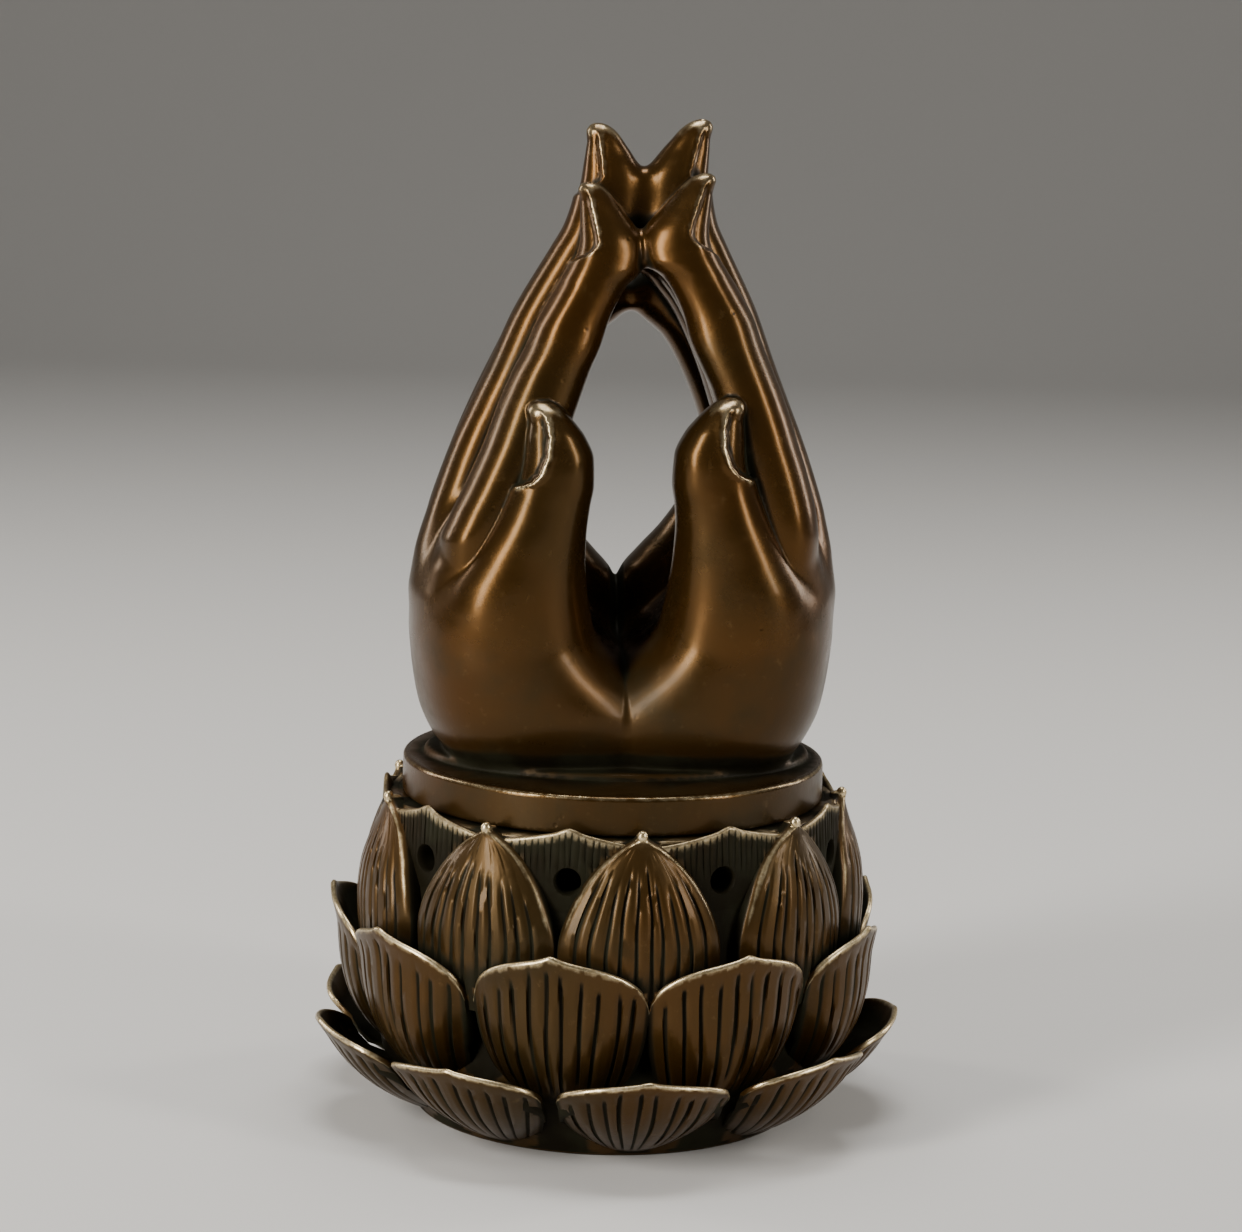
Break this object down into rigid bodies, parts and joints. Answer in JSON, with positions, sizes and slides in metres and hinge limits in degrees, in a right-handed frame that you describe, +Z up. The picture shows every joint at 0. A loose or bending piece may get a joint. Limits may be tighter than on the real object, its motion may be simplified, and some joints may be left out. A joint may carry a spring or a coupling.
{
  "type": "hand incense burner",
  "caption": "Bronze incense burner: a lotus-petal bowl with vent holes and a round lid that carries a pair of praying hands bowed apart.",
  "frame": {"origin": "centre of the underside of the bowl's foot, on the surface it stands on", "axes": "+Z up through the bowl and the fingertips; the thumbs face -Y, the little fingers +Y; the hands stand side by side along X"},
  "size_m": [0.0932, 0.0943, 0.16],
  "materials": {
    "bowl_bronze": "brown patina with olive-black in the engraved veins and worn golden rims, satin",
    "lid_bronze": "brown patina, satin-gloss, worn pale gold on ridges and fingertips"
  },
  "bodies": {
    "root": {"lotus_bowl": "bowl_bronze", "hands_lid": "lid_bronze"}
  },
  "joints": []
}
